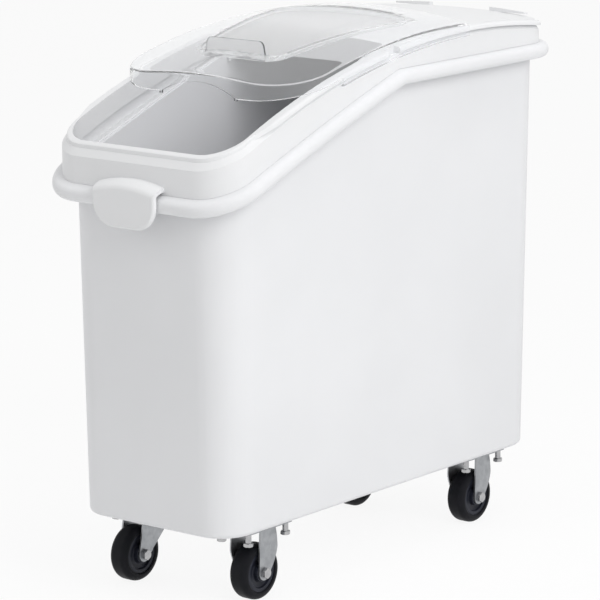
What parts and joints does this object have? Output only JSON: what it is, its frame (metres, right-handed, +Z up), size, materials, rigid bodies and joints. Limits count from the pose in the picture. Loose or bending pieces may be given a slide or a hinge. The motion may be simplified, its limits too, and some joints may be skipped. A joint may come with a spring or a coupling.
{
  "type": "rolling ingredient bin",
  "caption": "Tall slant-top plastic ingredient bin on casters, with a lift-off lid and a clear cover that slides back along curved rails for scooping.",
  "frame": {"origin": "on the ground under the middle of the bin's outline", "axes": "+Z up, the front with the pull tab towards -Y, +X to the right of someone looking along +Y"},
  "size_m": [0.33, 0.751, 0.7371],
  "materials": {
    "white_plastic": "satin",
    "clear_plastic": "clear polished",
    "tyre_rubber": "matte",
    "hub_plastic": "satin",
    "zinc_steel": "zinc plated",
    "bright_steel": "bright"
  },
  "bodies": {
    "bin": {"front_left_kingpin": "zinc_steel", "front_left_plate": "zinc_steel", "front_left_upper_race": "zinc_steel", "front_right_axle_bolt": "bright_steel", "front_right_axle_nut": "bright_steel", "front_right_axle_sleeve": "bright_steel", "front_right_inner_leg": "zinc_steel", "front_right_outer_leg": "zinc_steel", "front_right_plate": "zinc_steel", "leg_rivets": "bright_steel", "plate_bolts": "bright_steel", "plate_nuts": "bright_steel", "plate_washers": "bright_steel", "rear_left_kingpin": "zinc_steel", "rear_left_plate": "zinc_steel", "rear_left_upper_race": "zinc_steel", "rear_right_axle_bolt": "bright_steel", "rear_right_axle_nut": "bright_steel", "rear_right_axle_sleeve": "bright_steel", "rear_right_inner_leg": "zinc_steel", "rear_right_outer_leg": "zinc_steel", "rear_right_plate": "zinc_steel", "tub": "white_plastic"},
    "lid": {"lid": "white_plastic"},
    "cover": {"cover": "clear_plastic"},
    "front_left_swivel": {"front_left_axle_bolt": "bright_steel", "front_left_axle_nut": "bright_steel", "front_left_axle_sleeve": "bright_steel", "front_left_balls": "bright_steel", "front_left_fork": "zinc_steel", "front_left_lower_race": "zinc_steel"},
    "rear_left_swivel": {"rear_left_axle_bolt": "bright_steel", "rear_left_axle_nut": "bright_steel", "rear_left_axle_sleeve": "bright_steel", "rear_left_balls": "bright_steel", "rear_left_fork": "zinc_steel", "rear_left_lower_race": "zinc_steel"},
    "front_left_wheel": {"front_left_tyre": "tyre_rubber", "front_left_wheel_core": "hub_plastic"},
    "front_right_wheel": {"front_right_tyre": "tyre_rubber", "front_right_wheel_core": "hub_plastic"},
    "rear_left_wheel": {"rear_left_tyre": "tyre_rubber", "rear_left_wheel_core": "hub_plastic"},
    "rear_right_wheel": {"rear_right_tyre": "tyre_rubber", "rear_right_wheel_core": "hub_plastic"}
  },
  "joints": [
    {"name": "lid_lift", "type": "slide", "parent": "bin", "child": "lid", "axis": [0, 0, 1], "range_m": [0, 0.15]},
    {"name": "cover_slide", "type": "hinge", "parent": "lid", "child": "cover", "pos_m": [0, 0.1685, -0.46974], "axis": [-1, 0, 0], "range_deg": [-6.4, 8.9]},
    {"name": "front_left_swivel", "type": "hinge", "parent": "bin", "child": "front_left_swivel", "pos_m": [-0.091, -0.2307, 0.09], "axis": [0, 0, 1], "continuous": true},
    {"name": "front_left_roll", "type": "hinge", "parent": "front_left_swivel", "child": "front_left_wheel", "pos_m": [-0.091, -0.2597, 0.0375], "axis": [1, 0, 0], "continuous": true},
    {"name": "front_right_roll", "type": "hinge", "parent": "bin", "child": "front_right_wheel", "pos_m": [0.091, -0.2307, 0.0375], "axis": [1, 0, 0], "continuous": true},
    {"name": "rear_left_swivel", "type": "hinge", "parent": "bin", "child": "rear_left_swivel", "pos_m": [-0.091, 0.2479, 0.09], "axis": [0, 0, 1], "continuous": true},
    {"name": "rear_left_roll", "type": "hinge", "parent": "rear_left_swivel", "child": "rear_left_wheel", "pos_m": [-0.091, 0.2189, 0.0375], "axis": [1, 0, 0], "continuous": true},
    {"name": "rear_right_roll", "type": "hinge", "parent": "bin", "child": "rear_right_wheel", "pos_m": [0.091, 0.2479, 0.0375], "axis": [1, 0, 0], "continuous": true}
  ]
}
